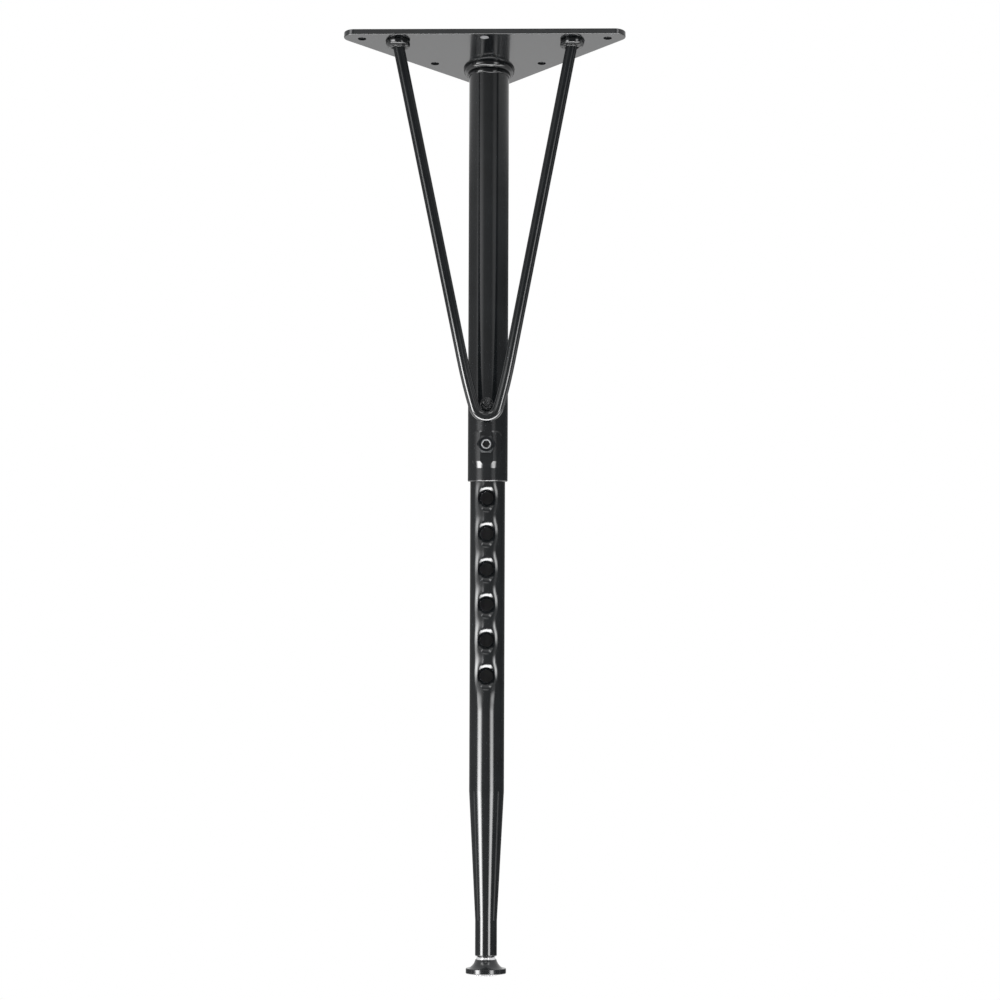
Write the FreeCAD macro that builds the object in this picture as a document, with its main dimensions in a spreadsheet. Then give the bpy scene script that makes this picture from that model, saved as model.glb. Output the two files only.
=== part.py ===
"""Splayed, height adjustable table leg with a corner plate, a V brace and a swivel foot.

Frame, in millimetres: the plate's top face is Z = 0 and the leg's centre line crosses it at the origin.
+X is to the right along the plate's long edge, +Y points from the brace to the plate's right-angled corner,
and +Z is up. The leg leans outwards, so its foot lies towards +Y.
Leg pieces are drawn upright, with the centre line on Z, and then leaned about X.
"""

import FreeCAD
import Part
import os
import Sketcher

from FreeCAD import Placement, Rotation, Vector

SIZES = [
    ("splay", 15, "lean of the leg from the vertical, degrees"),
    ("plate_front", 220, "long edge of the plate, between its sharp corners"),
    ("plate_thick", 4, "plate thickness"),
    ("plate_corner", 7.5, "radius of the plate's corners"),
    ("plate_edge", 0.6, "rounding of the plate's edges"),
    ("plate_setback", 67, "from the long edge back to the leg's centre line"),
    ("screw_hole", 6, "diameter of the plate's screw holes"),
    ("corner_hole_end", 23.3, "from a sharp front corner to its screw hole, along the edge"),
    ("corner_hole_inset", 9, "from the long edge to the two corner holes"),
    ("centre_hole_inset", 6.8, "from the long edge to the centre hole"),
    ("side_hole_inset", 56.6, "from the long edge to the two side holes"),
    ("side_hole_margin", 10.75, "from a side hole square out to the side edge"),
    ("lower_od", 25, "outer diameter of the lower tube"),
    ("lower_wall", 1.5, "wall of the lower tube"),
    ("slide_gap", 0.3, "radial clearance between the two tubes"),
    ("upper_wall", 1.5, "wall of the upper tube"),
    ("upper_length", 296, "upper tube, from the plate down along the centre line"),
    ("upper_round", 1, "radius of the turned-in edge at the upper tube's end"),
    ("lower_reach", 339.4, "lower tube showing below the upper one"),
    ("hole_start", 200.4, "from the lower tube's end up to its lowest adjusting hole"),
    ("hole_pitch", 25.4, "spacing of the adjusting holes"),
    ("hole_count", 10, "number of adjusting holes"),
    ("hole_width", 9.3, "diameter of an adjusting hole"),
    ("top_margin", 15, "from the highest adjusting hole to the lower tube's top"),
    ("dimple_mouth", 23, "diameter at which a hole's dimple starts"),
    ("dimple_bend", 12.8, "diameter at which the dimple's slow curve meets the lip of its hole"),
    ("dimple_bend_depth", 1.7, "depth of the dimple where its lip starts"),
    ("dimple_depth", 3.8, "depth of the dimple at its hole"),
    ("dimple_roll", 8.4, "radius of the dimple's slow curve"),
    ("dimple_lip", 6.1, "radius of the lip that turns into the hole"),
    ("dimple_wall", 1.8, "metal left behind a dimple, along its hole's line"),
    ("taper_length", 92.3, "tapered stretch of the lower tube"),
    ("tip_length", 25.9, "straight end below the taper"),
    ("tip_od", 15.6, "outer diameter of the straight end"),
    ("tip_round", 1.2, "rounding of the lower tube's end"),
    ("rod_width", 8, "diameter of the brace rod"),
    ("brace_half_span", 61.9, "from the middle to each end of the brace, at the plate"),
    ("brace_inset", 14, "from the long edge to the brace's ends"),
    ("brace_above_lock", 19.6, "from the lock screw up to the middle of the brace's bend, along the leg"),
    ("brace_bend", 9, "radius of the brace's bend, at the rod's middle"),
    ("brace_ease", 400, "radius of the slow curve above the bend"),
    ("brace_ease_height", 40, "from the bottom of the bend up to the straight legs"),
    ("brace_gap", 0.05, "gap between the rod and the tube at the bend"),
    ("tube_weld_leg", 4, "width of the bead round the tube"),
    ("rod_weld_leg", 4.2, "width of the beads round the rod's ends"),
    ("bend_weld_width", 9.4, "width of the weld inside the bend"),
    ("bend_weld_height", 14, "height of the weld inside the bend"),
    ("bend_weld_rise", 2.6, "how far that weld stands out from the tube"),
    ("bend_weld_up", 9.5, "from the rod's bottom up to the middle of that weld"),
    ("lock_height", 26.4, "from the upper tube's end up to the lock screw"),
    ("boss_width", 22, "width of the pressed boss at its foot"),
    ("boss_above", 11, "from the lock screw up to the boss's top"),
    ("boss_below", 18, "from the lock screw down to the boss's lower end"),
    ("boss_draft", 1.6, "how far the boss's sides slope in"),
    ("boss_slope", 6, "height of the slope at the boss's lower end"),
    ("boss_crest", 2.4, "height of the slope at the boss's upper end"),
    ("boss_corner", 5, "corner radius of the boss"),
    ("boss_rise", 1.2, "how far the boss stands out from the tube"),
    ("boss_seat", 0.5, "how far the boss's flat seat stands out from the tube"),
    ("nut_flats", 12, "lock nut across its flats"),
    ("nut_height", 6.5, "height of the lock nut"),
    ("nut_face", 10.6, "diameter of the flat ring at the lock nut's front"),
    ("nut_chamfer", 1, "drop of the chamfer at the lock nut's corners"),
    ("lock_width", 8, "diameter of the lock screw"),
    ("lock_length", 8, "length of the lock screw"),
    ("lock_tip_gap", 0.35, "from the lock screw's tip to the lower tube"),
    ("lock_socket", 5, "hexagon socket across its flats"),
    ("lock_socket_depth", 4, "depth of the socket"),
    ("lock_chamfer", 0.7, "chamfer at both ends of the lock screw"),
    ("thread_gap", 0.05, "radial clearance of the lock screw in its nut"),
    ("wall_hole_gap", 0.3, "radial clearance of the lock screw in the tube's wall"),
    ("insert_length", 20, "length of the plug in the lower tube's end"),
    ("seat_gap", 0.05, "clearance between pieces that are pressed together"),
    ("stem_width", 8, "diameter of the ball stud's stem"),
    ("stem_length", 16, "length of the stem in the plug"),
    ("ball_width", 14.4, "diameter of the ball"),
    ("ball_drop", 4, "from the lower tube's end down to the ball's centre"),
    ("ball_flat", 3, "from the ball's centre down to its flat underside"),
    ("ball_gap", 0.08, "radial clearance of the ball in the foot's base"),
    ("skirt_gap", 2.2, "from the lower tube's end down to the skirt's rim"),
    ("skirt_lip", 0.45, "thickness of the skirt at its rim"),
    ("skirt_foot", 24.8, "diameter of the skirt where it meets the disc"),
    ("skirt_hollow", 9.5, "radius of the skirt's hollow curve"),
    ("skirt_height", 6.2, "height of the skirt above the disc"),
    ("disc_width", 28.8, "diameter of the foot's disc"),
    ("disc_height", 3.9, "thickness of the foot's disc"),
    ("disc_round", 0.6, "rounding of the disc's edges"),
    ("pad_width", 20, "diameter of the pad under the disc"),
    ("pad_face", 12, "diameter of the pad's flat face"),
    ("pad_height", 1.6, "how far the pad stands below the disc"),
    ("pad_curve", 9, "radius of the pad's rounded edge"),
    ("pad_room", 2, "from the ball's flat underside down to the pad"),
]

FITS = [
    ("seat_drop", "Size.plate_thick / cos(Size.splay)", "from the origin to the plate's underside, along the leg"),
    ("lower_r", "Size.lower_od / 2", "lower tube"),
    ("lower_bore_r", "Size.lower_od / 2 - Size.lower_wall", "inside of the lower tube"),
    ("tip_r", "Size.tip_od / 2", "straight end"),
    ("tip_bore_r", "Size.tip_od / 2 - Size.lower_wall", "inside of the straight end"),
    ("upper_bore_r", "Size.lower_od / 2 + Size.slide_gap", "inside of the upper tube"),
    ("upper_r", "Size.lower_od / 2 + Size.slide_gap + Size.upper_wall", "upper tube"),
    ("upper_end", "-(Size.plate_thick / cos(Size.splay) + Size.upper_length)", "upper tube's end"),
    ("lock_z", "Fit.upper_end + Size.lock_height", "lock screw"),
    ("lower_end", "Fit.upper_end - Size.lower_reach", "lower tube's end"),
    ("tip_top", "Fit.lower_end + Size.tip_length", "top of the straight end"),
    ("taper_top", "Fit.tip_top + Size.taper_length", "top of the taper"),
    ("hole_low", "Fit.lower_end + Size.hole_start", "lowest adjusting hole"),
    ("hole_run", "(Size.hole_count - 1) * Size.hole_pitch", "from the lowest to the highest adjusting hole"),
    ("lower_top", "Fit.hole_low + Fit.hole_run + Size.top_margin", "lower tube's top"),
    ("ball_z", "Fit.lower_end - Size.ball_drop", "ball's centre"),
    ("ball_r", "Size.ball_width / 2", "ball"),
    ("socket_r", "Size.ball_width / 2 + Size.ball_gap", "socket round the ball"),
    ("rim_z", "Fit.lower_end - Size.skirt_gap", "skirt's rim"),
    ("rim_r", "sqrt(Fit.socket_r ^ 2 - (Fit.rim_z - Fit.ball_z) ^ 2)", "mouth of the socket"),
    ("disc_top", "Fit.rim_z - Size.skirt_height", "disc's upper face"),
    ("disc_low", "Fit.disc_top - Size.disc_height", "disc's underside"),
    ("pad_top", "Fit.ball_z - Size.ball_flat - Size.pad_room", "inner face of the pad"),
    ("rod_r", "Size.rod_width / 2", "brace rod"),
    ("rod_out", "Fit.upper_r + Fit.rod_r + Size.brace_gap", "from the leg's centre line to the rod at the bend"),
    ("bend_down", "-Fit.lock_z - Size.brace_above_lock", "from the origin to the bend, along the leg"),
    ("bend_y", "Fit.bend_down * sin(Size.splay) - Fit.rod_out * cos(Size.splay)", "bend, leaned"),
    ("bend_z", "-Fit.bend_down * cos(Size.splay) - Fit.rod_out * sin(Size.splay)", "bend, leaned"),
    ("brace_y", "Size.brace_inset - Size.plate_setback", "brace's ends"),
    ("brace_run", "Fit.bend_y - Fit.brace_y", "how far back the brace runs"),
    ("brace_sink", "-Size.plate_thick - Fit.bend_z", "how far down the brace runs"),
    ("brace_tilt", "atan(Fit.brace_run / Fit.brace_sink) / 1 deg", "lean of the brace's plane, degrees"),
    ("brace_fall", "sqrt(Fit.brace_run ^ 2 + Fit.brace_sink ^ 2)", "height of the V in its own plane"),
    ("rod_slant", "(Size.brace_half_span - Size.brace_bend) / (Fit.brace_fall - Size.brace_bend)", "inward run"),
    ("boss_r", "Fit.upper_r + Size.boss_rise", "front of the boss"),
    ("seat_y", "Fit.upper_r + Size.boss_seat", "seat of the lock nut"),
    ("lock_r", "Size.lock_width / 2", "lock screw"),
    ("lock_tip", "Fit.lower_r + Size.lock_tip_gap", "tip of the lock screw"),
    ("over", "Fit.upper_r * tan(Size.splay) + Size.plate_thick", "spare length to be trimmed at the plate"),
    ("plate_depth", "Size.plate_front / 2", "from the long edge to the sharp right-angled corner"),
    ("plate_y", "-Size.plate_setback", "long edge of the plate"),
]

# Drop below the plate and width of a weld bead at three levels, as shares of its leg.
BEAD_LEVELS = [(0, 1), (0.5, 0.67), (1.15, 0.09)]

TOLERANCE = 1e-6

PIECES = []

doc = FreeCAD.newDocument("table_leg")


def fill_sheet(name, rows):
    """A sheet with one row for each value: its meaning, and the value under its alias."""
    sheet = doc.addObject("Spreadsheet::Sheet", name)
    for row, (alias, content, meaning) in enumerate(rows, start=1):
        sheet.set(f"A{row}", meaning)
        sheet.set(f"B{row}", str(content) if name == "Size" else "=" + content)
        sheet.setAlias(f"B{row}", alias)
    doc.recompute()
    return sheet


size = fill_sheet("Size", SIZES)
fit = fill_sheet("Fit", FITS)


def number(expression):
    """The present value of an expression on the sheets."""
    value = size.evalExpression(expression)
    return float(getattr(value, "Value", value))


def bind(item, **expressions):
    """Ties properties of an object to expressions; a double underscore stands for a dot."""
    for path, expression in expressions.items():
        item.setExpression(path.replace("__", "."), expression)
    return item


def place(item, x="0", y="0", z="0", axis=(0, 0, 1), angle="0"):
    """Gives an object a placement that follows the sheets."""
    corner = Vector(number(x), number(y), number(z))
    item.Placement = Placement(corner, Rotation(Vector(*axis), number(angle)))
    bind(item, Placement__Base__x=x, Placement__Base__y=y, Placement__Base__z=z)
    if angle != "0":
        bind(item, Placement__Rotation__Angle=angle)
    return item


def lean(item):
    """Leans an upright leg piece about X, through the origin."""
    return place(item, axis=(1, 0, 0), angle="Size.splay")


def name_part(item, label):
    item.Label = label
    PIECES.append(item)
    return item


def combine(kind, name, *items):
    """A cut of the first object by the second, or a fuse or common of two."""
    result = doc.addObject("Part::" + kind, name)
    result.Base, result.Tool = items
    return result


def cylinder(name, radius, height, **placing):
    item = doc.addObject("Part::Cylinder", name)
    bind(item, Radius=radius, Height=height)
    return place(item, **placing)


def new_body(name):
    return doc.addObject("PartDesign::Body", name)


def plane_of(body, role):
    return next(item for item in body.Origin.OriginFeatures if item.Role == role)


def add_sketch(body, name, role):
    sketch = body.newObject("Sketcher::SketchObject", name)
    sketch.AttachmentSupport = [(plane_of(body, role), "")]
    sketch.MapMode = "FlatFace"
    return sketch


def fix_value(sketch, constraint, expression):
    index = sketch.addConstraint(constraint)
    sketch.setExpression(f"Constraints[{index}]", expression)


def fix_point(sketch, geometry, position, x, y):
    """Holds a point of a sketch at two expressions."""
    fix_value(sketch, Sketcher.Constraint("DistanceX", -1, 1, geometry, position, number(x)), x)
    fix_value(sketch, Sketcher.Constraint("DistanceY", -1, 1, geometry, position, number(y)), y)


def arc_between(start, end, radius, side):
    """Arc from start to end that bulges to the left (side 1) or the right (side -1) of that line."""
    chord = end - start
    left = Vector(-chord.y, chord.x, 0).normalize()
    sagitta = radius - (radius ** 2 - (chord.Length / 2) ** 2) ** 0.5
    return Part.Arc(start, start + chord * 0.5 + left * (side * sagitta), end)


def draw_outline(sketch, corners):
    """Closed outline through corners (x, y), with an arc after a corner (x, y, radius, side)."""
    points = [Vector(number(corner[0]), number(corner[1]), 0) for corner in corners]
    for index, corner in enumerate(corners):
        start = points[index]
        end = points[(index + 1) % len(points)]
        if len(corner) == 2:
            sketch.addGeometry(Part.LineSegment(start, end), False)
        else:
            sketch.addGeometry(arc_between(start, end, number(corner[2]), corner[3]), False)
    ends = [point_numbers(sketch, index, points[index]) for index in range(len(points))]
    for index, corner in enumerate(corners):
        before = (index - 1) % len(points)
        sketch.addConstraint(Sketcher.Constraint("Coincident", before, ends[before][1], index, ends[index][0]))
        fix_point(sketch, index, ends[index][0], corner[0], corner[1])
        if len(corner) > 2:
            fix_value(sketch, Sketcher.Constraint("Radius", index, number(corner[2])), corner[2])


def point_numbers(sketch, index, start):
    """The sketch's numbers for the two ends of a line or arc, the one at start first."""
    if sketch.getPoint(index, 1).distanceToPoint(start) < TOLERANCE:
        return 1, 2
    return 2, 1


def turned(name, corners, role="XZ_Plane", axis="V_Axis"):
    """Body turned from a half outline about an axis of its sketch."""
    body = new_body(name)
    sketch = add_sketch(body, name + "_outline", role)
    draw_outline(sketch, corners)
    turn = body.newObject("PartDesign::Revolution", name + "_turn")
    turn.Profile = sketch
    turn.ReferenceAxis = (sketch, [axis])
    turn.Angle = 360
    doc.recompute()
    return body


def edges_where(feature, test):
    return [f"Edge{index}" for index, edge in enumerate(feature.Shape.Edges, start=1) if test(edge)]


def round_edges(body, feature, name, radius, test):
    rounding = body.newObject("PartDesign::Fillet", name)
    rounding.Base = (feature, edges_where(feature, test))
    bind(rounding, Radius=radius)
    doc.recompute()
    return rounding


def is_upright(edge):
    box = edge.BoundBox
    return box.ZLength > max(box.XLength, box.YLength)


def is_level(edge):
    return edge.BoundBox.ZLength < TOLERANCE


def make_plate():
    body = new_body("plate_body")
    outline = add_sketch(body, "plate_outline", "XY_Plane")
    half = "Size.plate_front / 2"
    corners = [
        (f"-{half}", "Fit.plate_y"),
        (half, "Fit.plate_y"),
        ("0", "Fit.plate_y + Fit.plate_depth"),
    ]
    draw_outline(outline, corners)
    pad = body.newObject("PartDesign::Pad", "plate_pad")
    pad.Profile = outline
    pad.Reversed = True
    bind(pad, Length="Size.plate_thick")
    doc.recompute()
    rounded = round_edges(body, pad, "plate_corners", "Size.plate_corner", is_upright)
    eased = round_edges(body, rounded, "plate_edges", "Size.plate_edge", is_level)
    holes = add_sketch(body, "plate_holes", "XY_Plane")
    corner_x = "(Size.plate_front / 2 - Size.corner_hole_end)"
    side_x = "(Size.plate_front / 2 - Size.side_hole_inset - Size.side_hole_margin * sqrt(2))"
    centres = [
        ("-" + corner_x, "Fit.plate_y + Size.corner_hole_inset"),
        (corner_x, "Fit.plate_y + Size.corner_hole_inset"),
        ("0", "Fit.plate_y + Size.centre_hole_inset"),
        ("-" + side_x, "Fit.plate_y + Size.side_hole_inset"),
        (side_x, "Fit.plate_y + Size.side_hole_inset"),
    ]
    for index, (x, y) in enumerate(centres):
        centre = Vector(number(x), number(y), 0)
        radius = number("Size.screw_hole / 2")
        sketch_circle = Part.Circle(centre, Vector(0, 0, 1), radius)
        holes.addGeometry(sketch_circle, False)
        fix_point(holes, index, 3, x, y)
        fix_value(holes, Sketcher.Constraint("Radius", index, radius), "Size.screw_hole / 2")
    drill = body.newObject("PartDesign::Pocket", "plate_drill")
    drill.Profile = holes
    drill.Type = "ThroughAll"
    drill.Midplane = True
    doc.recompute()
    if drill.Shape.Volume >= eased.Shape.Volume:
        raise RuntimeError("the plate's screw holes cut nothing")
    return name_part(body, "mounting_plate")


def make_plate_space():
    """The space above the plate's underside, which trims what is welded to it."""
    space = doc.addObject("Part::Box", "plate_space")
    bind(space, Length="Size.plate_front", Width="Size.plate_front", Height="Size.plate_thick + 4 * Fit.over")
    return place(space, x="-Size.plate_front / 2", y="-Size.plate_front / 2", z="-Size.plate_thick")


def boss_outline(name, y, inset):
    """Rounded outline of the boss on a plane across the leg's front, drawn inwards by an inset."""
    half = f"(Size.boss_width / 2 - {inset})"
    top = f"(Fit.lock_z + Size.boss_above - {inset})"
    low = f"(Fit.lock_z - Size.boss_below + {inset})"
    radius = f"(Size.boss_corner - {inset} / 2)"
    sketch = doc.addObject("Sketcher::SketchObject", name)
    place(sketch, y=y, axis=(1, 0, 0), angle="90")
    corners = [
        (f"-{half} + {radius}", low),
        (f"{half} - {radius}", low, radius, -1),
        (half, f"{low} + {radius}"),
        (half, f"{top} - {radius}", radius, -1),
        (f"{half} - {radius}", top),
        (f"-{half} + {radius}", top, radius, -1),
        (f"-{half}", f"{top} - {radius}"),
        (f"-{half}", f"{low} + {radius}", radius, -1),
    ]
    draw_outline(sketch, corners)
    return sketch


def boss_form(name, radius, shrink):
    """The boss as a pad round the tube's front that slopes down to the tube, drawn in by a shrink."""
    outlines = [
        boss_outline(name + "_foot", "-Fit.upper_bore_r / 2", shrink),
        boss_outline(name + "_face", "-Fit.boss_r - Size.boss_rise", f"({shrink} + Size.boss_draft)"),
    ]
    pad = doc.addObject("Part::Loft", name + "_pad")
    pad.Sections = outlines
    pad.Solid = True
    pad.Ruled = True
    top = "Fit.lock_z + Size.boss_above"
    low = "Fit.lock_z - Size.boss_below"
    core = f"{radius} - 2 * Size.boss_rise"
    drum = turned(
        name + "_drum",
        [
            ("0", f"{top} + Size.boss_crest"),
            ("0", f"{low} - Size.boss_slope"),
            (core, f"{low} - Size.boss_slope"),
            (radius, f"{low} + Size.boss_slope"),
            (radius, f"{top} - Size.boss_crest"),
            (core, f"{top} + Size.boss_crest"),
        ],
    )
    return combine("Common", name, pad, drum)


def across_front(name, radius, start, length):
    """Cylinder on the lock screw's line, from start outwards."""
    return cylinder(name, radius, length, y=f"-({start})", z="Fit.lock_z", axis=(1, 0, 0), angle="90")


def make_upper_tube(plate_space):
    wall = turned(
        "upper_wall_body",
        [
            ("Fit.upper_bore_r", "Fit.over"),
            ("Fit.upper_bore_r", "Fit.upper_end"),
            ("Fit.upper_r - Size.upper_round", "Fit.upper_end", "Size.upper_round", -1),
            ("Fit.upper_r", "Fit.upper_end + Size.upper_round"),
            ("Fit.upper_r", "Fit.over"),
        ],
    )
    raised = combine("Fuse", "upper_raised", wall, boss_form("boss_outside", "Fit.boss_r", "0"))
    pressed = combine(
        "Cut",
        "upper_pressed",
        raised,
        boss_form("boss_inside", "Fit.upper_bore_r + Size.boss_rise / 2", "Size.upper_wall"),
    )
    bore_length = "Size.upper_length + 2 * Fit.over"
    bore = cylinder("upper_bore", "Fit.upper_bore_r", bore_length, z="Fit.upper_end - Fit.over")
    bored = combine("Cut", "upper_bored", pressed, bore)
    front = doc.addObject("Part::Box", "boss_front")
    bind(front, Length="2 * Fit.upper_r", Width="Fit.upper_r", Height="2 * Size.boss_below")
    place(front, x="-Fit.upper_r", y="-Fit.seat_y - Fit.upper_r", z="Fit.lock_z - Size.boss_below")
    flat = combine("Cut", "upper_flat", bored, front)
    hole = across_front("upper_lock_hole", "Fit.lock_r + Size.wall_hole_gap", "0", "2 * Fit.upper_r")
    drilled = lean(combine("Cut", "upper_drilled", flat, hole))
    return name_part(combine("Cut", "upper_trimmed", drilled, plate_space), "upper_tube")


def bead(name, levels):
    """Rounded bead lofted through level rings, each (radius, stretch in Y, x, y, depth below the plate)."""
    rings = []
    for index, (radius, stretch, x, y, depth) in enumerate(levels):
        ring = doc.addObject("Part::Ellipse", f"{name}_ring_{index}")
        bind(ring, MajorRadius=f"({radius}) * {stretch}", MinorRadius=radius)
        rings.append(place(ring, x=x, y=y, z=f"-Size.plate_thick - {depth}", angle="90"))
    form = doc.addObject("Part::Loft", name + "_form")
    form.Sections = rings
    form.Solid = True
    return form


def make_tube_weld():
    stretch = "1 / cos(Size.splay)"
    leg = "Size.tube_weld_leg"
    levels = []
    for drop, share in BEAD_LEVELS:
        depth = f"{leg} * {drop}"
        y = f"(Size.plate_thick + {depth}) * tan(Size.splay)"
        levels.append((f"Fit.upper_r + {leg} * {share}", stretch, "0", y, depth))
    below = "3 * Fit.upper_r"
    core = cylinder(
        "tube_weld_core",
        "Fit.upper_r",
        f"2 * {below}",
        y=f"{below} * sin(Size.splay)",
        z=f"-{below} * cos(Size.splay)",
        axis=(1, 0, 0),
        angle="Size.splay",
    )
    return name_part(combine("Cut", "tube_weld_cut", bead("tube_bead", levels), core), "tube_weld")


def make_brace(plate_space):
    """One rod: half of the V follows a bend, a slow curve and a straight leg, and is then mirrored."""
    body = new_body("brace_body")
    path = add_sketch(body, "brace_path", "XZ_Plane")
    fall = number("Fit.brace_fall")
    bend = number("Size.brace_bend")
    half_span = number("Size.brace_half_span")
    slant = number("Fit.rod_slant")
    ease_height = number("Size.brace_ease_height")
    over = number("Fit.over")
    bottom = Vector(0, -fall, 0)
    bend_end = Vector(bend, bend - fall, 0)
    straight = Vector(half_span - slant * (fall - ease_height), ease_height - fall, 0)
    finish = Vector(half_span + slant * over, over, 0)
    path.addGeometry(arc_between(bottom, bend_end, bend, -1), False)
    path.addGeometry(arc_between(bend_end, straight, number("Size.brace_ease"), -1), False)
    path.addGeometry(Part.LineSegment(straight, finish), False)
    path.addGeometry(Part.Point(Vector(half_span, 0, 0)), True)
    bend_ends = point_numbers(path, 0, bottom)
    ease_ends = point_numbers(path, 1, bend_end)
    path.addConstraint(Sketcher.Constraint("PointOnObject", 0, 3, -2))
    path.addConstraint(Sketcher.Constraint("PointOnObject", 0, bend_ends[0], -2))
    path.addConstraint(Sketcher.Constraint("Tangent", 0, bend_ends[1], 1, ease_ends[0]))
    path.addConstraint(Sketcher.Constraint("Tangent", 1, ease_ends[1], 2, 1))
    path.addConstraint(Sketcher.Constraint("PointOnObject", 3, 1, -1))
    path.addConstraint(Sketcher.Constraint("PointOnObject", 3, 1, 2))
    fix_value(path, Sketcher.Constraint("DistanceX", -1, 1, 3, 1, half_span), "Size.brace_half_span")
    fix_value(path, Sketcher.Constraint("Radius", 0, bend), "Size.brace_bend")
    fix_value(path, Sketcher.Constraint("Radius", 1, number("Size.brace_ease")), "Size.brace_ease")
    fix_value(path, Sketcher.Constraint("DistanceY", -1, 1, 0, bend_ends[0], -fall), "-Fit.brace_fall")
    fix_value(
        path,
        Sketcher.Constraint("DistanceY", -1, 1, 2, 1, ease_height - fall),
        "Size.brace_ease_height - Fit.brace_fall",
    )
    fix_value(path, Sketcher.Constraint("DistanceY", -1, 1, 2, 2, over), "Fit.over")
    section = add_sketch(body, "brace_section", "YZ_Plane")
    radius = number("Fit.rod_r")
    section.addGeometry(Part.Circle(Vector(0, -fall, 0), Vector(0, 0, 1), radius), False)
    section.addConstraint(Sketcher.Constraint("PointOnObject", 0, 3, -2))
    fix_value(section, Sketcher.Constraint("DistanceY", -1, 1, 0, 3, -fall), "-Fit.brace_fall")
    fix_value(section, Sketcher.Constraint("Radius", 0, radius), "Fit.rod_r")
    doc.recompute()
    pipe = body.newObject("PartDesign::AdditivePipe", "brace_half")
    pipe.Profile = section
    pipe.Spine = (path, ["Edge1", "Edge2", "Edge3"])
    doc.recompute()
    mirror = body.newObject("PartDesign::Mirrored", "brace_mirror")
    mirror.Originals = [pipe]
    mirror.MirrorPlane = (plane_of(body, "YZ_Plane"), [""])
    body.Tip = mirror
    place(body, y="Fit.brace_y", z="-Size.plate_thick", axis=(1, 0, 0), angle="Fit.brace_tilt")
    doc.recompute()
    return name_part(combine("Cut", "brace_trimmed", body, plate_space), "brace_rod")


def make_brace_welds(brace):
    leg = "Size.rod_weld_leg"
    stretch = "1 / cos(Fit.brace_tilt)"
    for side, sign in (("left", "-"), ("right", "")):
        levels = []
        for drop, share in BEAD_LEVELS:
            depth = f"{leg} * {drop}"
            inward = f"{depth} / cos(Fit.brace_tilt) * Fit.rod_slant"
            x = f"{sign}(Size.brace_half_span - {inward})"
            y = f"Fit.brace_y + {depth} * tan(Fit.brace_tilt)"
            levels.append((f"Fit.rod_r + {leg} * {share}", stretch, x, y, depth))
        form = bead(f"brace_bead_{side}", levels)
        name_part(combine("Cut", f"brace_weld_cut_{side}", form, brace), f"brace_weld_{side}")


def make_bend_weld(brace):
    lump = doc.addObject("Part::Ellipsoid", "bend_lump")
    bind(
        lump,
        Radius1="Size.bend_weld_height / 2",
        Radius2="Size.bend_weld_width / 2",
        Radius3="2 * Size.bend_weld_rise",
    )
    place(lump, y="-Fit.upper_r + Size.bend_weld_rise", z="-Fit.bend_down + Size.bend_weld_up")
    core = cylinder("bend_weld_core", "Fit.upper_r", "Size.upper_length", z="Fit.upper_end")
    on_tube = lean(combine("Cut", "bend_on_tube", lump, core))
    return name_part(combine("Cut", "bend_weld_cut", on_tube, brace), "bend_weld")


def hexagon(name, flats, height, start):
    """Six-sided bar on the lock screw's line, two of its flats level, from start outwards."""
    bar = doc.addObject("Part::Prism", name)
    bar.Polygon = 6
    bind(bar, Circumradius=f"{flats} / sqrt(3)", Height=height)
    return place(bar, y=f"-({start})", z="Fit.lock_z", axis=(1, 0, 0), angle="90")


def make_lock_nut():
    blank = hexagon("nut_blank", "Size.nut_flats", "Size.nut_height", "Fit.seat_y")
    spread = "(Size.nut_flats / sqrt(3) - Size.nut_face / 2) / Size.nut_chamfer"
    dome = doc.addObject("Part::Cone", "nut_dome")
    bind(
        dome,
        Radius1=f"Size.nut_face / 2 + {spread} * Size.nut_height",
        Radius2="Size.nut_face / 2",
        Height="Size.nut_height",
    )
    place(dome, y="-Fit.seat_y", z="Fit.lock_z", axis=(1, 0, 0), angle="90")
    shaped = combine("Common", "nut_shaped", blank, dome)
    hole = across_front("nut_hole", "Fit.lock_r + Size.thread_gap", "0", "2 * (Fit.seat_y + Size.nut_height)")
    return name_part(lean(combine("Cut", "nut_bored", shaped, hole)), "lock_nut")


def make_lock_screw():
    """Set screw turned about the sketch's Y line, which is then laid on the lock screw's line."""
    length = "Size.lock_length"
    chamfer = "Size.lock_chamfer"
    shank = turned(
        "lock_shank",
        [
            ("0", "0"),
            (f"Fit.lock_r - {chamfer}", "0"),
            ("Fit.lock_r", chamfer),
            ("Fit.lock_r", f"{length} - {chamfer}"),
            (f"Fit.lock_r - {chamfer}", length),
            ("0", length),
        ],
    )
    place(shank, y="-Fit.lock_tip", z="Fit.lock_z", axis=(1, 0, 0), angle="90")
    floor = f"Fit.lock_tip + {length} - Size.lock_socket_depth"
    socket = hexagon("lock_socket_form", "Size.lock_socket", "2 * Size.lock_socket_depth", floor)
    return name_part(lean(combine("Cut", "lock_cut", shank, socket)), "lock_screw")


def dimple_row(name, corners):
    """A dimple's form turned about its hole's line, repeated up the tube."""
    body = turned(name, corners, role="YZ_Plane", axis="H_Axis")
    turn = body.Tip
    row = body.newObject("PartDesign::LinearPattern", name + "_row")
    row.Originals = [turn]
    row.Direction = (body.getObject(name + "_outline"), ["V_Axis"])
    bind(row, Length="Fit.hole_run", Occurrences="Size.hole_count")
    body.Tip = row
    place(body, z="Fit.hole_low")
    doc.recompute()
    return body


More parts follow.
